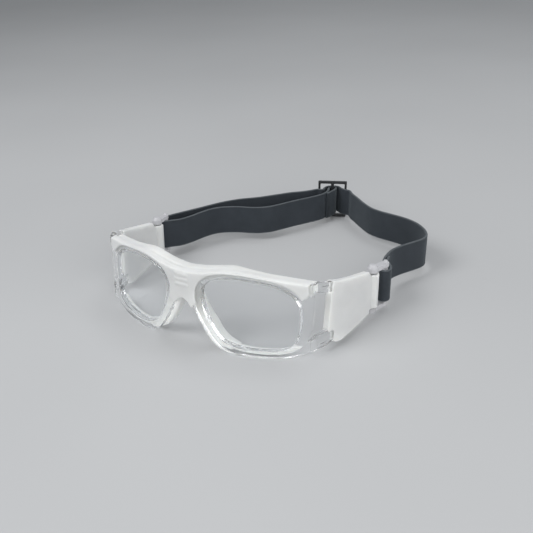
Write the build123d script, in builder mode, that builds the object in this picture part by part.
from build123d import *
import math
import os

# Sports protective goggles: a clear moulded front with side rails, two clear lenses, a soft
# silicone face liner, two soft temple pads, two swivelling strap loops on steel pins, an elastic
# head strap and a tri-glide slider.
# Everything is drawn in the wearing gauge (x to the wearer's left, y rearwards from the front of
# the bridge, z up along the lens) and that gauge is leaned back by LEAN, because the goggles
# stand on the two rim lands and the slider. The table is the world plane z = 0.
# Left and right are the wearer's: left pieces are at +x.

# ---------------------------------------------------------------- driving dimensions (mm)
LEAN = 6.07                # lean of the wearing gauge, degrees
GAUGE_HEIGHT = 25.31       # gauge origin above the table
GAUGE_Y = -102.75          # gauge origin along the world y axis

# clear front and lenses
WRAP_SQUARE = 4.871e-3     # front wrap y = WRAP_SQUARE x^2 - WRAP_FOURTH x^4
WRAP_FOURTH = 1.836e-7
FRAME_DEPTH = 4.0          # front to back depth of the clear rims
RIM_END = 73.4             # half width of the clear front
LENS_THICK = 2.0
LENS_SEAT = 1.0            # rim lip in front of the lens
LENS_EDGE = 1.2            # how far the lens edge goes into its groove
GROOVE_GAP = 0.04          # clearance of the lens in its groove

# silicone face liner; depths are measured behind the front surface
LIP = 3.0                  # clear lip round each lens opening left open by the silicone
SKIN = 0.9                 # silicone standing proud in front of the clear top bar
SHOULDER = 0.8             # depth at which the skin steps up to its upper shoulder
BROW_DEPTH = 9.5           # brow cushion
NOSE_DEPTH = 10.0          # nose pads
RING_DEPTH = 6.4           # thin liner ring
RING_WIDTH = 3.4           # outer edge of the ring outside the lens opening
BACK_GAP = 0.3             # silicone behind the rims stays this far outside the lens opening
RIB_SIZE = (9.0, 1.3)      # moulded bridge rib, across and up
RIB_HEIGHT = 0.5           # rib extent in front of and behind the skin surface
RIB_LOW = 13.4             # height of the lowest rib
RIB_PITCH = 3.0
RIB_COUNT = 3

# arms, temple pads and strap loops
CORE_THICK = 2.4           # clear side rails and arm core
RAIL_GROOVE = 0.5          # depth of the groove in the outer face of each rail
TEMPLE_THICK = 4.0         # soft temple pad over the arm core
PIVOT = (80.2, 74.4)       # strap loop pin, plan position
PIN_RADIUS = 1.0
PIN_GAP = 0.05
BARREL_RADIUS = 3.0
BARREL_ROOM = 4.3          # radius cleared from the arm above and below the barrel
ARM_TAIL = 3.2             # end of the arm behind the pin
TEMPLE_TAIL = 4.4          # end of the temple pad behind the pin
KNUCKLE_HIGH = 11.7        # underside of the strap loop's upper plate
KNUCKLE_LOW = -10.6        # top side of its lower plate
KNUCKLE_GAP = 0.5          # clearance between barrel and plates
BARREL_TOP = KNUCKLE_HIGH - KNUCKLE_GAP
BARREL_BOTTOM = KNUCKLE_LOW + KNUCKLE_GAP
LOOP_TOP = 14.6            # top of the upper plate
LOOP_BOTTOM = -13.6        # underside of the lower plate
LOOP_HALF = 2.6            # half width of the plates
PIN_TOP = 13.9
BAR = (82.9, 86.6)         # strap bar of the loop, plan position

# strap and slider
WEB_THICK = 1.4            # strap webbing thickness
WEB_TOP = 10.65            # upper strap edge at y = WEB_Y
WEB_BOTTOM = -9.7          # lower strap edge at y = WEB_Y
WEB_Y = 80
WEB_RISE = 0.07            # rise of the strap edges towards the back
STITCH_FIRST = 2.1         # lowest stitch above the lower strap edge
STITCH_PITCH = 2.6
STITCH_LENGTH = 1.7
STITCH_WIDTH = 0.6
STITCH_COUNT = 7
SLIDER_CENTRE = (-8.4, 195.4)   # plan position
SLIDER_ANGLE = 26.0        # slider heading in plan, degrees
SLIDER_LENGTH = 21.6
SLIDER_THICK = 2.4
SLIDER_RAIL = 1.95         # top and bottom rails
SLIDER_END = 1.7           # upright at each end
SLIDER_BAR = 1.1           # half width of the centre bar
SLIDER_ROUND = 0.9         # radius of the upright edges
WINDOW_BELOW = 0.516       # window clearance below the strap
WINDOW_ABOVE = 2.9         # window clearance above the strap

# blocks and cuts that reach past the pieces they shape
PLAN_Z, PLAN_HEIGHT = -40, 80      # plan outlines are extruded upwards from here
FRONT_Y, FRONT_DEPTH = -10, -60    # front outlines; the negative amount runs rearwards
SIDE_X, SIDE_WIDTH = 40, 60        # side outlines of the left arm
PIVOT_Z, PIVOT_HEIGHT = -30, 60    # cuts round the pin
KNUCKLE_CUT = 20                   # cuts above and below the barrel
TAIL_CUT = (30, 20)                # plan size of the cuts that end the arm and its pad
TABLE_SIZE, TABLE_CUT = (300, 400), -20

cos_lean, sin_lean = math.cos(math.radians(LEAN)), math.sin(math.radians(LEAN))
ACROSS, BACK, UP = Vector(1, 0, 0), Vector(0, cos_lean, -sin_lean), Vector(0, sin_lean, cos_lean)
ORIGIN = Vector(0, GAUGE_Y, GAUGE_HEIGHT)


# ---------------------------------------------------------------- planes and curves
def top(z):
    """Plan plane of the wearing gauge at height z: local x, y are gauge x, y."""
    return Plane(origin=ORIGIN + UP * z, x_dir=ACROSS, z_dir=UP)


def front(y):
    """Front view plane at depth y: local x, y are gauge x, z. Its normal points forwards."""
    return Plane(origin=ORIGIN + BACK * y, x_dir=ACROSS, z_dir=BACK * -1)


def side(x):
    """Side view plane at gauge x: local x, y are gauge y, z."""
    return Plane(origin=ORIGIN + ACROSS * x, x_dir=BACK, z_dir=ACROSS)


def refine(pts, steps, closed=False):
    """Centripetal Catmull-Rom curve through the points, with the given steps a span."""
    count = len(pts)
    out = []
    for i in range(count if closed else count - 1):
        if closed:
            quad = [pts[(i + k - 1) % count] for k in range(4)]
        else:
            a, b = pts[i], pts[i + 1]
            before = pts[i - 1] if i else (2 * a[0] - b[0], 2 * a[1] - b[1])
            after = pts[i + 2] if i + 2 < count else (2 * b[0] - a[0], 2 * b[1] - a[1])
            quad = [before, a, b, after]
        knots = [0.0]
        for k in range(3):
            knots.append(knots[-1] + max(1e-6, math.dist(quad[k], quad[k + 1])) ** 0.5)
        for j in range(steps):
            at = knots[1] + (knots[2] - knots[1]) * j / steps
            level = quad
            for reach, first in ((1, 0), (2, 0), (1, 1)):
                blended = []
                for k in range(len(level) - 1):
                    start, end = knots[k + first], knots[k + first + reach]
                    w = (at - start) / (end - start)
                    p, q = level[k], level[k + 1]
                    blended.append((p[0] + (q[0] - p[0]) * w, p[1] + (q[1] - p[1]) * w))
                level = blended
            out.append(level[0])
    if not closed:
        out.append(tuple(pts[-1]))
    return out


def shifted(pts, distance, closed=False):
    """The polyline moved sideways, to the left of its direction when distance is positive."""
    count = len(pts)
    out = []
    for i, point in enumerate(pts):
        a = pts[(i - 1) % count] if closed or i else point
        b = pts[(i + 1) % count] if closed or i < count - 1 else point
        dx, dy = b[0] - a[0], b[1] - a[1]
        length = math.hypot(dx, dy)
        out.append((point[0] - dy / length * distance, point[1] + dx / length * distance))
    return out


def flipped(pts, sign=-1):
    """The points with x times sign: -1 mirrors them to the wearer's right."""
    return [(sign * x, y) for x, y in pts]


# The edge helpers below draw into the BuildLine block that calls them.
def band_edges(one, other):
    """Closed outline between two curves that run the same way."""
    Spline(*one)
    Line(one[-1], other[-1])
    Spline(*other[::-1])
    Line(other[0], one[0])


WRAP_X = [0, 9, 18, 27, 36, 45, 54, 62, 69, 76]


def wrap_line(depth, sign):
    return [(sign * x, WRAP_SQUARE * x * x - WRAP_FOURTH * x**4 + depth) for x in WRAP_X]


def wrap_edges(near, far, both=True):
    """Plan outline between the wrap curve moved back by near and by far."""
    a, b = wrap_line(near, 1), wrap_line(far, 1)
    if both:
        a, b = wrap_line(near, -1)[:0:-1] + a, wrap_line(far, -1)[:0:-1] + b
    band_edges(a, b)


def ring_edge(pts, sign=1):
    """Smooth closed curve through every second point."""
    Spline(*flipped(pts, sign)[::2], periodic=True)


# ---------------------------------------------------------------- export
os.makedirs("parts", exist_ok=True)


def save(part, name):
    part.label = name
    export_step(part, f"parts/{name}.step")


def save_pair(left, name):
    """Write the left piece and its mirror image."""
    save(left, f"{name}_left")
    with BuildPart() as right:
        add(mirror(left, about=Plane.YZ))
    save(right.part, f"{name}_right")


# ---------------------------------------------------------------- lenses and their groove
# left lens opening seen from the front (x, z), counter-clockwise, so a negative shift widens it
OPENING = refine([
    (64.61, -2.38), (63.40, 10.17), (55.34, 17.12), (41.55, 20.11), (27.49, 20.54),
    (16.36, 17.18), (11.92, 11.25), (13.20, 1.66), (17.06, -8.17), (21.88, -15.37),
    (32.48, -19.41), (45.03, -20.00), (56.40, -18.33), (61.89, -14.40)], 4, closed=True)


def lens_shape(gap):
    """Left lens, grown by gap on every side."""
    outline = shifted(OPENING, -LENS_EDGE - gap, closed=True)
    with BuildPart() as shape:
        with BuildSketch(top(PLAN_Z)):
            with BuildLine():
                wrap_edges(LENS_SEAT - gap, LENS_SEAT + LENS_THICK + gap, both=False)
            make_face()
        extrude(amount=PLAN_HEIGHT)
        with BuildSketch(front(FRONT_Y)):
            with BuildLine():
                ring_edge(outline)
            make_face()
        extrude(amount=FRONT_DEPTH, mode=Mode.INTERSECT)
    return shape.part


save_pair(lens_shape(0), "lens")
lens_groove = lens_shape(GROOVE_GAP)

# ---------------------------------------------------------------- clear arm: rails, core, barrel
# left arm centre line in plan (x, y), from the front corner to the rear edge
ARM = refine([
    (71.0, 19.6), (71.9, 23.0), (72.9, 27.0), (74.2, 32.7), (76.2, 40.6), (77.8, 49.6),
    (78.9, 60.6), (80.0, 70.6), (80.7, 77.0), (81.2, 82.0)], 5)
# side view outlines (y, z)
UPPER_RAIL = [(19.0, 22.0), (24.0, 22.6), (27.5, 21.1), (33.4, 20.0), (41.0, 17.5),
              (41.0, 12.5), (31.0, 14.0), (21.5, 16.9), (19.0, 17.3)]
LOWER_RAIL = [(19.0, -17.1), (25.8, -17.4), (31.0, -17.2), (36.0, -16.2), (44.0, -15.0),
              (44.0, -9.6), (36.5, -9.4), (31.0, -8.0), (24.0, -8.5), (21.0, -9.2),
              (19.0, -10.4)]
CORE = [(33.8, 17.6), (50, 15.0), (68, 12.0), (77, 9.8), (77, -8.2), (71, -10.8),
        (46, -15.2), (38.4, -14.6), (34.0, -6.4)]
UPPER_GROOVE = [(23.6, 19.7), (38.5, 16.9), (38.5, 15.4), (23.6, 18.0)]
LOWER_GROOVE = [(23.6, -13.0), (44.0, -14.0), (44.0, -15.5), (23.6, -14.6)]


def arm_edges(outer, inner):
    """Plan strip along the left arm, between two distances outwards from its centre line."""
    a, b = shifted(ARM, -outer), shifted(ARM, -inner)
    band_edges(a[::2], b[::2])


with BuildPart() as arm:
    with BuildSketch(top(PLAN_Z)):
        with BuildLine():
            arm_edges(CORE_THICK / 2, -CORE_THICK / 2)
        make_face()
    extrude(amount=PLAN_HEIGHT)
    with BuildSketch(side(SIDE_X)):
        for outline in (UPPER_RAIL, LOWER_RAIL, CORE):
            with BuildLine():
                Polyline(*outline, close=True)
            make_face()
    extrude(amount=SIDE_WIDTH, mode=Mode.INTERSECT)
    # swivel barrel near the rear end of the arm
    for z, height in ((BARREL_BOTTOM, -KNUCKLE_CUT), (BARREL_TOP, KNUCKLE_CUT)):
        with BuildSketch(top(z)):
            with Locations(PIVOT):
                Circle(BARREL_ROOM)
        extrude(amount=height, mode=Mode.SUBTRACT)
    with BuildSketch(top(BARREL_BOTTOM)):
        with Locations(PIVOT):
            Circle(BARREL_RADIUS)
    extrude(amount=BARREL_TOP - BARREL_BOTTOM)
    with BuildSketch(top(PIVOT_Z)):
        with Locations(PIVOT):
            Circle(PIN_RADIUS + PIN_GAP)
    extrude(amount=PIVOT_HEIGHT, mode=Mode.SUBTRACT)
    # the arm ends behind the barrel, clear of the strap
    with BuildSketch(top(PIVOT_Z)):
        with Locations((PIVOT[0], PIVOT[1] + ARM_TAIL + TAIL_CUT[1] / 2)):
            Rectangle(*TAIL_CUT)
    extrude(amount=PIVOT_HEIGHT, mode=Mode.SUBTRACT)

# cutter for the shallow groove along each side rail
with BuildPart() as rail_groove:
    with BuildSketch(top(PLAN_Z)):
        with BuildLine():
            arm_edges(CORE_THICK / 2 + 1.0, CORE_THICK / 2 - RAIL_GROOVE)
        make_face()
    extrude(amount=PLAN_HEIGHT)
    with BuildSketch(side(SIDE_X)):
        for outline in (UPPER_GROOVE, LOWER_GROOVE):
            with BuildLine():
                Polyline(*outline, close=True)
            make_face()
    extrude(amount=SIDE_WIDTH, mode=Mode.INTERSECT)

# ---------------------------------------------------------------- clear front frame
# front view (x, z): upper edge from the middle outwards, lower edge from outside to the arch
CLEAR_TOP = [(0, 20.8), (5.7, 20.9), (11, 21.6), (16.4, 22.8), (23.2, 24.0), (32.8, 24.3),
             (43.8, 23.1), (56.4, 21.6), (66, 20.9), (RIM_END, 20.9)]
CLEAR_LOW = [(RIM_END, -17.2), (70.3, -18.4), (66.9, -20.0), (63.9, -21.2), (57, -23.4),
             (49.25, -24.5), (40, -24.75), (31.43, -24.3), (25.0, -22.7), (20.6, -20.2),
             (17.2, -16.8), (13.6, -11.6), (9.9, -5.3), (7.2, -0.1), (5.0, 3.0), (3.2, 4.9),
             (0, 6.4)]
# open vent between each rim and temple pad (x, z)
VENT = [(69.9, 17.0), (70.7, 12.0), (71.0, 6.0), (70.7, 0.0), (70.1, -5.0), (69.2, -8.5),
        (68.2, -12.2), (78.0, -10.0), (78.0, 17.0)]

with BuildPart() as front_frame:
    with BuildSketch(top(PLAN_Z)):
        with BuildLine():
            wrap_edges(0, FRAME_DEPTH)
        make_face()
    extrude(amount=PLAN_HEIGHT)
    with BuildSketch(front(FRONT_Y)):
        with BuildLine():
            Spline(*CLEAR_TOP)
            Line(CLEAR_TOP[-1], CLEAR_LOW[0])
            Spline(*CLEAR_LOW)
            Spline(*flipped(CLEAR_LOW)[::-1])
            Line(flipped(CLEAR_LOW)[0], flipped(CLEAR_TOP)[-1])
            Spline(*flipped(CLEAR_TOP)[::-1])
        make_face()
        for sign in (1, -1):
            with BuildLine():
                ring_edge(OPENING, sign)
            make_face(mode=Mode.SUBTRACT)
    extrude(amount=FRONT_DEPTH, mode=Mode.INTERSECT)
    with BuildSketch(front(FRONT_Y)):
        for sign in (1, -1):
            with BuildLine():
                Polyline(*flipped(VENT, sign), close=True)
            make_face()
    extrude(amount=FRONT_DEPTH, mode=Mode.SUBTRACT)
    add(lens_groove, mode=Mode.SUBTRACT)
    add(mirror(lens_groove, about=Plane.YZ), mode=Mode.SUBTRACT)
    add(arm.part)
    add(mirror(arm.part, about=Plane.YZ))
    add(rail_groove.part, mode=Mode.SUBTRACT)
    add(mirror(rail_groove.part, about=Plane.YZ), mode=Mode.SUBTRACT)
    # flat rest lands under both rims, at table height
    with BuildSketch(Plane.XY):
        Rectangle(*TABLE_SIZE)
    extrude(amount=TABLE_CUT, mode=Mode.SUBTRACT)
save(front_frame.part, "front_frame")

# ---------------------------------------------------------------- silicone face liner
OPEN_LIP = shifted(OPENING, -LIP, closed=True)
OPEN_BACK = shifted(OPENING, -BACK_GAP, closed=True)
RING_OUTER = shifted(OPENING, -RING_WIDTH, closed=True)
# brow upper edge from the middle outwards: x, z at its front ridge, z at its rear face
BROW = [(0, 22.1, 22.8), (6, 22.2, 23.35), (12, 22.9, 24.1), (18, 24.1, 25.05),
        (23, 25.0, 25.85), (29, 25.4, 26.05), (34, 25.3, 25.1), (39, 24.8, 24.2),
        (45, 24.1, 23.1), (53, 23.3, 22.2), (60, 22.7, 21.4), (66, 22.2, 20.7),
        (69.2, 21.9, 20.3)]
# brow and bridge lower edge from outside to the middle (x, z)
BROW_LOW = [(69.6, 15.5), (66.0, 12.2), (58, 6), (40, 4), (20, 3), (9.0, 3.2), (6.0, 0.2),
            (3.2, 3.6), (0, 5.2)]
# nose pad (x, z): lower nasal edge going down, then back up across the lens
NOSE_EDGE = [(0, 5.2), (2.9, 3.2), (5.2, -1.2), (8.51, -7.6), (12.4, -13.8), (16.6, -18.6),
             (21.0, -21.2), (27.5, -22.9)]
NOSE_RETURN = [(27.5, -22.9), (31.5, -19.5), (26, -10), (20, 8), (12, 16), (0, 20), (0, 5.2)]
# temporal side left open by the liner ring (x, z)
RING_OPEN = [(50, -16.5), (80, -16.5), (80, 12.2), (50, 12.2)]
# cut behind the nasal walls in side view (y, z), and its span across
NASAL_CUT = [(4.9, 17.5), (4.9, 12.0), (10.9, -7.5), (14, -7.5), (14, 17.5)]
NASAL_X, NASAL_WIDTH = 6.5, 11
# cut behind the lower end of each nose pad in plan (x, y), and its height above PLAN_Z
NOSE_END_CUT = [(19.5, 12.0), (34, 12.3), (40, 22), (19.5, 22)]
NOSE_END_HEIGHT = 32


def brow_block(near, far, share, drop, window):
    """Slice of the silicone brow and bridge between two depths. Its upper edge lies at the given
    share of the way from front ridge to rear face, lowered by drop; window is its lens hole."""
    upper = [(x, ridge + (rear - ridge) * share - drop) for x, ridge, rear in BROW]
    lower = [upper[-1]] + BROW_LOW
    with BuildPart() as block:
        with BuildSketch(top(PLAN_Z)):
            with BuildLine():
                wrap_edges(near, far)
            make_face()
        extrude(amount=PLAN_HEIGHT)
        with BuildSketch(front(FRONT_Y)):
            with BuildLine():
                Spline(*upper)
                Polyline(*lower)
                Polyline(*flipped(lower)[::-1])
                Spline(*flipped(upper)[::-1])
            make_face()
            for sign in (1, -1):
                with BuildLine():
                    ring_edge(window, sign)
                make_face(mode=Mode.SUBTRACT)
        extrude(amount=FRONT_DEPTH, mode=Mode.INTERSECT)
    return block.part


# skin over the clear top bar and bridge, with a stepped upper shoulder, and cushion behind
skin_front = brow_block(-SKIN, SHOULDER, share=0.0, drop=0.5, window=OPEN_LIP)
skin_top = brow_block(SHOULDER, FRAME_DEPTH, share=0.15, drop=0.0, window=OPEN_LIP)
cushion = brow_block(FRAME_DEPTH, BROW_DEPTH, share=0.85, drop=0.1, window=OPEN_BACK)

# nose pads behind the nasal side of both rims
with BuildPart() as nose:
    with BuildSketch(top(PLAN_Z)):
        with BuildLine():
            wrap_edges(FRAME_DEPTH, NOSE_DEPTH)
        make_face()
    extrude(amount=PLAN_HEIGHT)
    with BuildSketch(front(FRONT_Y)):
        for sign in (1, -1):
            with BuildLine():
                Polyline(*flipped(NOSE_EDGE, sign))
                Polyline(*flipped(NOSE_RETURN, sign))
            make_face()
        for sign in (1, -1):
            with BuildLine():
                ring_edge(OPEN_BACK, sign)
            make_face(mode=Mode.SUBTRACT)
    extrude(amount=FRONT_DEPTH, mode=Mode.INTERSECT)

# thin liner ring round each lens, open on the temporal side
with BuildPart() as liner_ring:
    with BuildSketch(top(PLAN_Z)):
        with BuildLine():
            wrap_edges(FRAME_DEPTH, RING_DEPTH)
        make_face()
    extrude(amount=PLAN_HEIGHT)
    with BuildSketch(front(FRONT_Y)):
        for window, mode in ((RING_OUTER, Mode.ADD), (OPEN_BACK, Mode.SUBTRACT)):
            for sign in (1, -1):
                with BuildLine():
                    ring_edge(window, sign)
                make_face(mode=mode)
        for sign in (1, -1):
            with BuildLine():
                Polyline(*flipped(RING_OPEN, sign), close=True)
            make_face(mode=Mode.SUBTRACT)
    extrude(amount=FRONT_DEPTH, mode=Mode.INTERSECT)

with BuildPart() as face_liner:
    add(cushion)
    add(skin_front)
    add(skin_top)
    add(nose.part)
    add(liner_ring.part)
    # the nasal walls get thinner towards the brow
    for x in (NASAL_X, -NASAL_X - NASAL_WIDTH):
        with BuildSketch(side(x)):
            with BuildLine():
                Polyline(*NASAL_CUT, close=True)
            make_face()
        extrude(amount=NASAL_WIDTH, mode=Mode.SUBTRACT)
    # and run out into the thin liner below
    for sign in (1, -1):
        with BuildSketch(top(PLAN_Z)):
            with BuildLine():
                Polyline(*flipped(NOSE_END_CUT, sign), close=True)
            make_face()
        extrude(amount=NOSE_END_HEIGHT, mode=Mode.SUBTRACT)
    add(front_frame.part, mode=Mode.SUBTRACT)
    # moulded ribs across the bridge
    with BuildSketch(front(-SKIN)):
        for i in range(RIB_COUNT):
            with Locations((0, RIB_LOW + RIB_PITCH * i)):
                SlotOverall(*RIB_SIZE)
    extrude(amount=RIB_HEIGHT, both=True)
    # nothing reaches below the table
    with BuildSketch(Plane.XY):
        Rectangle(*TABLE_SIZE)
    extrude(amount=TABLE_CUT, mode=Mode.SUBTRACT)
save(face_liner.part, "face_liner")

# ---------------------------------------------------------------- temple pads
# side view outline (y, z)
TEMPLE = [(32.0, 13.8), (32.3, 14.5), (32.9, 20.4), (40.6, 18.7), (49.6, 17.1), (60.6, 15.4),
          (67.6, 14.3), (69.4, 11.5), (78.2, 10.8), (79.4, -8.4), (77.4, -10.4), (70.0, -12.4),
          (60.0, -14.7), (46.0, -17.0), (41.5, -18.1), (37.5, -17.8), (35.3, -16.9),
          (34.9, -10.4), (33.4, -9.2), (30.2, -9.6)]
SLEEVE = 1.1               # pad wall round the barrel
BARREL_BITE = 0.5          # the pad's bore is this much smaller in radius than the barrel
KNUCKLE_ROOM = 4.9         # radius cleared for the strap loop's knuckles

with BuildPart() as temple_pad:
    with BuildSketch(top(PLAN_Z)):
        with BuildLine():
            arm_edges(TEMPLE_THICK / 2, -TEMPLE_THICK / 2)
        make_face()
    extrude(amount=PLAN_HEIGHT)
    with BuildSketch(top(PLAN_Z)):
        with Locations(PIVOT):
            Circle(BARREL_RADIUS + SLEEVE)
    extrude(amount=PLAN_HEIGHT)
    with BuildSketch(side(SIDE_X)):
        with BuildLine():
            Polyline(*TEMPLE, close=True)
        make_face()
    extrude(amount=SIDE_WIDTH, mode=Mode.INTERSECT)
    # room for the strap loop's knuckles above and below the barrel
    for z, height in ((BARREL_TOP, KNUCKLE_CUT), (BARREL_BOTTOM, -KNUCKLE_CUT)):
        with BuildSketch(top(z)):
            with Locations(PIVOT):
                Circle(KNUCKLE_ROOM)
            with Locations((PIVOT[0] - 1, PIVOT[1] + 10)):
                Rectangle(14, 20)
        extrude(amount=height, mode=Mode.SUBTRACT)
    # behind the barrel the pad ends clear of the strap
    with BuildSketch(top(PLAN_Z)):
        with Locations((PIVOT[0], PIVOT[1] + TEMPLE_TAIL + TAIL_CUT[1] / 2)):
            Rectangle(*TAIL_CUT)
    extrude(amount=PLAN_HEIGHT, mode=Mode.SUBTRACT)
    with BuildSketch(top(PIVOT_Z)):
        with Locations(PIVOT):
            Circle(BARREL_RADIUS - BARREL_BITE)
    extrude(amount=PIVOT_HEIGHT, mode=Mode.SUBTRACT)
    add(front_frame.part, mode=Mode.SUBTRACT)
save_pair(temple_pad.part, "temple_pad")

# ---------------------------------------------------------------- strap loops and pins
LOOP_ANGLE = math.degrees(math.atan2(BAR[1] - PIVOT[1], BAR[0] - PIVOT[0]))
KNUCKLE_RADIUS = 3.3
BAR_SECTION = (2.4, 3.6)   # along and across the loop
BAR_ROUND = 1.0
BAR_SINK = 1               # how far the bar runs into each plate
CAP_SINK = 0.1             # how far the domed caps start below the plate's top
# domed caps on the upper plate: place, radius, height, taper in degrees
CAPS = [(PIVOT, 3.1, 2.0, 30), (BAR, 1.5, 1.2, 20)]
LOOP_PLATE = [(PIVOT[0] - LOOP_HALF, PIVOT[1]), (BAR[0] - LOOP_HALF, BAR[1]),
              (BAR[0] - 1.6, BAR[1] + 1.5), (BAR[0] + 1.6, BAR[1] + 1.5),
              (BAR[0] + 2.4, BAR[1]), (PIVOT[0] + LOOP_HALF, PIVOT[1])]
PIN_HOLE_BOTTOM = -14.5

with BuildPart() as strap_loop:
    for inner_z, outer_z in ((KNUCKLE_HIGH, LOOP_TOP), (KNUCKLE_LOW, LOOP_BOTTOM)):
        with BuildSketch(top(inner_z)):
            with BuildLine():
                Polyline(*LOOP_PLATE, close=True)
            make_face()
            with Locations(PIVOT):
                Circle(KNUCKLE_RADIUS)
        extrude(amount=outer_z - inner_z)
    with BuildSketch(top(KNUCKLE_LOW - BAR_SINK)):
        with Locations(Location((BAR[0], BAR[1], 0), LOOP_ANGLE)):
            RectangleRounded(*BAR_SECTION, BAR_ROUND)
    extrude(amount=KNUCKLE_HIGH - KNUCKLE_LOW + 2 * BAR_SINK)
    for place, radius, height, taper in CAPS:
        with BuildSketch(top(LOOP_TOP - CAP_SINK)):
            with Locations(place):
                Circle(radius)
        extrude(amount=height, taper=taper)
    with BuildSketch(top(PIN_HOLE_BOTTOM)):
        with Locations(PIVOT):
            Circle(PIN_RADIUS)
    extrude(amount=PIN_TOP - PIN_HOLE_BOTTOM, mode=Mode.SUBTRACT)
save_pair(strap_loop.part, "strap_loop")

# the pin is pressed into the loop's two knuckles and runs in the barrel of the arm
with BuildPart() as loop_pin:
    with BuildSketch(top(LOOP_BOTTOM)):
        with Locations(PIVOT):
            Circle(PIN_RADIUS)
    extrude(amount=PIN_TOP - LOOP_BOTTOM)
save_pair(loop_pin.part, "loop_pin")

# ---------------------------------------------------------------- head strap
cos_slider = math.cos(math.radians(SLIDER_ANGLE))
sin_slider = math.sin(math.radians(SLIDER_ANGLE))


def at_slider(along, back):
    """Plan point from distances along the slider and square to it towards the back."""
    return (SLIDER_CENTRE[0] + cos_slider * along - sin_slider * back,
            SLIDER_CENTRE[1] + sin_slider * along + cos_slider * back)


def web_rise(y):
    """Height gained by the strap edges at depth y."""
    return WEB_RISE * (y - WEB_Y)


# Plan centre line (x, y) of one continuous band: sewn end round the left strap bar and the run
# to the slider, the weave over its two ends, the outer leg to the right strap bar, the turn
# round it, the inner leg back and the sewn end round the slider's centre bar.
LEFT_RUN = [(78.5, 102.2), (79.2, 98.6), (80.9, 95.0), (83.6, 91.8), (85.7, 88.6), (86.3, 85.4),
            (85.0, 83.0), (82.7, 82.4), (80.9, 83.9), (80.2, 86.8), (79.9, 90.2), (78.5, 94.2),
            (77.2, 98.4), (76.5, 103.2), (76.2, 108.0), (76.6, 113.0), (78.6, 119.0),
            (82.2, 126.4), (85.2, 132.2), (87.2, 137.8), (87.1, 142.2), (84.4, 148.0),
            (79.5, 154.0), (72.4, 159.6), (63.6, 163.4), (51.5, 166.0), (43.4, 167.4),
            (35.6, 170.3), (28.0, 175.6), (17.2, 185.0), (10.4, 190.8)]
# slider coordinates: along, back
WEAVE = [(13.0, -6.0), (9.4, -3.4), (6.6, -0.6), (4.6, 2.9), (1.6, 4.5), (-1.6, 4.5),
         (-4.4, 3.0), (-6.0, 0.1), (-7.3, -3.2)]
OUTER_LEG = [(-17.4, 187.9), (-20.6, 183.2), (-25.4, 178.0), (-32.1, 172.0), (-37.2, 165.9),
             (-42.3, 159.8), (-47.3, 153.8), (-52.9, 148.7), (-58.4, 143.6), (-63.3, 137.7),
             (-67.6, 131.0), (-71.3, 123.5), (-74.8, 116.0), (-78.4, 108.8), (-81.9, 101.6),
             (-84.9, 95.4)]
# offsets from the right strap bar
RIGHT_TURN = [(-3.5, 3.6), (-3.5, -0.2), (-2.0, -2.9), (0.6, -3.1), (2.7, -1.4), (4.6, 1.0)]
INNER_LEG = [(-74.4, 91.6), (-71.4, 98.7), (-69.2, 108.1), (-66.5, 116.9), (-62.5, 123.0),
             (-56.3, 127.5), (-49.8, 130.6), (-42.5, 132.9), (-35.9, 136.2), (-30.6, 141.0),
             (-26.4, 148.0), (-22.4, 155.6), (-18.0, 163.3), (-14.2, 169.6), (-10.9, 175.6)]
END_LOOP = [(-8.6, 181.4), (-8.4, 186.0), (-9.3, 190.2), (-10.6, 193.6), (-11.0, 195.8),
            (-10.2, 197.5), (-8.2, 198.4), (-6.6, 197.6), (-5.8, 195.4), (-5.4, 192.0),
            (-5.9, 187.6), (-6.6, 183.2)]
STRAP_LINE = refine(
    LEFT_RUN + [at_slider(*point) for point in WEAVE] + OUTER_LEG
    + [(-BAR[0] + x, BAR[1] + y) for x, y in RIGHT_TURN] + INNER_LEG + END_LOOP, 2)
STRAP_SPAN = 12            # the band is drawn in spans of this many steps
STRAP_FRONT, STRAP_REAR = 60, 230      # y range of the edge outline
STRAP_SIDE = 120           # half width of the edge cut
# stitch rows by the left strap loop and in front of the slider: plan place, angle in degrees
STITCH_ROWS = [((78.15, 98.7), 99.5), ((-7.4, 184.8), 85.0)]

# two sewn rows hold the end loops
with BuildPart() as strap_stitching:
    for (x, y), angle in STITCH_ROWS:
        for i in range(STITCH_COUNT):
            with BuildSketch(top(WEB_BOTTOM + web_rise(y) + STITCH_FIRST + STITCH_PITCH * i)):
                with Locations(Location((x, y, 0), angle)):
                    Rectangle(STITCH_WIDTH, 2 * WEB_THICK + 1.1)
            extrude(amount=STITCH_LENGTH)
save(strap_stitching.part, "strap_stitching")

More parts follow.
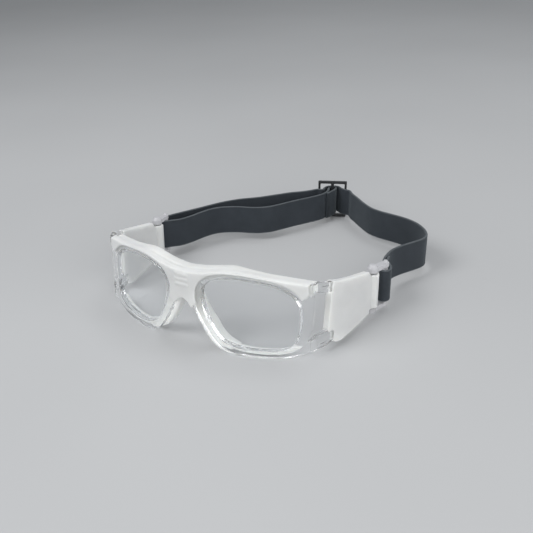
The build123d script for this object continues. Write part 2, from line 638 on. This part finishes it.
band_left = shifted(STRAP_LINE, WEB_THICK / 2)
band_right = shifted(STRAP_LINE, -WEB_THICK / 2)
with BuildPart() as strap:
    with BuildSketch(top(PLAN_Z)):
        for i in range(0, len(STRAP_LINE) - 1, STRAP_SPAN):
            with BuildLine():
                band_edges(band_left[i:i + STRAP_SPAN + 1], band_right[i:i + STRAP_SPAN + 1])
            make_face()
    extrude(amount=PLAN_HEIGHT)
    with BuildSketch(side(-STRAP_SIDE)):
        with BuildLine():
            Polyline((STRAP_FRONT, WEB_TOP + web_rise(STRAP_FRONT)),
                     (STRAP_REAR, WEB_TOP + web_rise(STRAP_REAR)),
                     (STRAP_REAR, WEB_BOTTOM + web_rise(STRAP_REAR)),
                     (STRAP_FRONT, WEB_BOTTOM + web_rise(STRAP_FRONT)), close=True)
        make_face()
    extrude(amount=2 * STRAP_SIDE, mode=Mode.INTERSECT)
    add(strap_stitching.part, mode=Mode.SUBTRACT)
save(strap.part, "strap")

# ---------------------------------------------------------------- tri-glide slider
WINDOW_Z = WEB_BOTTOM + web_rise(SLIDER_CENTRE[1]) - WINDOW_BELOW
WINDOW_HEIGHT = WEB_TOP - WEB_BOTTOM + WINDOW_BELOW + WINDOW_ABOVE
WINDOW_OUTER = SLIDER_LENGTH / 2 - SLIDER_END

with BuildPart() as slider:
    with BuildSketch(top(WINDOW_Z - SLIDER_RAIL)):
        with Locations(Location((*SLIDER_CENTRE, 0), SLIDER_ANGLE)):
            Rectangle(SLIDER_LENGTH, SLIDER_THICK)
    extrude(amount=WINDOW_HEIGHT + 2 * SLIDER_RAIL)
    upright_edges = slider.edges().filter_by(Axis(origin=ORIGIN, direction=UP))
    fillet(upright_edges, SLIDER_ROUND)
    # a window on each side of the centre bar
    with BuildSketch(top(WINDOW_Z)):
        for sign in (1, -1):
            middle = at_slider(sign * (SLIDER_BAR + WINDOW_OUTER) / 2, 0)
            with Locations(Location((*middle, 0), SLIDER_ANGLE)):
                Rectangle(WINDOW_OUTER - SLIDER_BAR, SLIDER_THICK * 3)
    extrude(amount=WINDOW_HEIGHT, mode=Mode.SUBTRACT)
save(slider.part, "slider")
